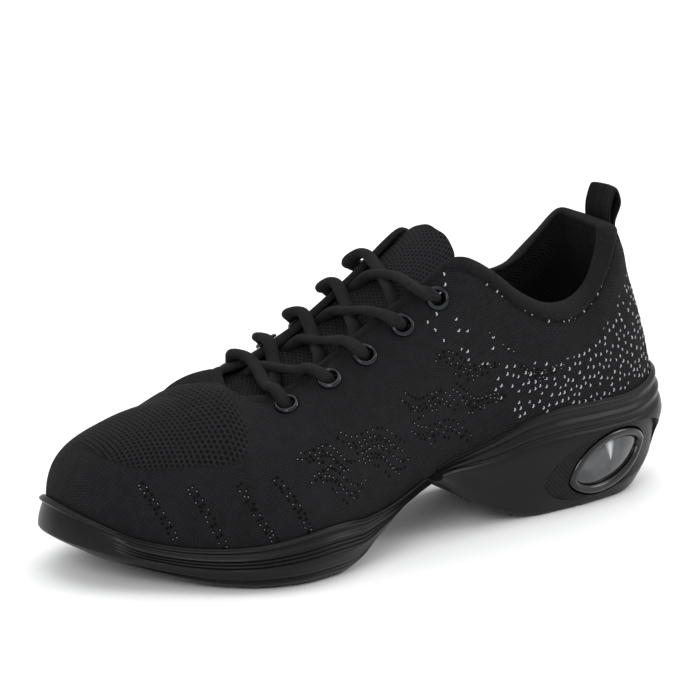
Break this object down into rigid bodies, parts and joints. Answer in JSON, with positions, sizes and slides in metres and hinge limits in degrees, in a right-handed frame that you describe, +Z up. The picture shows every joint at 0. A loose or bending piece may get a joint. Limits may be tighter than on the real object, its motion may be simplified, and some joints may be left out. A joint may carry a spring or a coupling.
{
  "type": "dance sneaker",
  "caption": "Low lace-up dance sneaker with a black knit upper, split rubber sole, heel windows and heel pull loop.",
  "frame": {"origin": "middle of the heel's flat tread, on the floor", "axes": "+X to the toe, +Y to the outer side of the left shoe, +Z up"},
  "size_m": [0.2681, 0.0978, 0.1212],
  "materials": {
    "knit_upper": "fine black knit, matt",
    "knit_tongue": "padded black mesh",
    "insole": "matt black cloth",
    "webbing": "ribbed black webbing",
    "sole_rubber": "satin black",
    "window_frame": "dark grey satin",
    "window_lens": "clear, glossy",
    "eyelet_metal": "gunmetal",
    "lace": "matt charcoal braid"
  },
  "bodies": {
    "root": {"eyelet_lateral_1": "eyelet_metal", "eyelet_lateral_2": "eyelet_metal", "eyelet_lateral_3": "eyelet_metal", "eyelet_lateral_4": "eyelet_metal", "eyelet_lateral_5": "eyelet_metal", "eyelet_medial_1": "eyelet_metal", "eyelet_medial_2": "eyelet_metal", "eyelet_medial_3": "eyelet_metal", "eyelet_medial_4": "eyelet_metal", "eyelet_medial_5": "eyelet_metal", "insole": "insole", "lace_bar": "lace", "lace_cross_1": "lace", "lace_cross_2": "lace", "lace_cross_3": "lace", "lace_cross_4": "lace", "pull_loop": "webbing", "sole_forefoot": "sole_rubber", "sole_heel": "sole_rubber", "tongue": "knit_tongue", "upper": "knit_upper", "window_frame_lateral": "window_frame", "window_frame_medial": "window_frame", "window_lens_lateral": "window_lens", "window_lens_medial": "window_lens"}
  },
  "joints": []
}
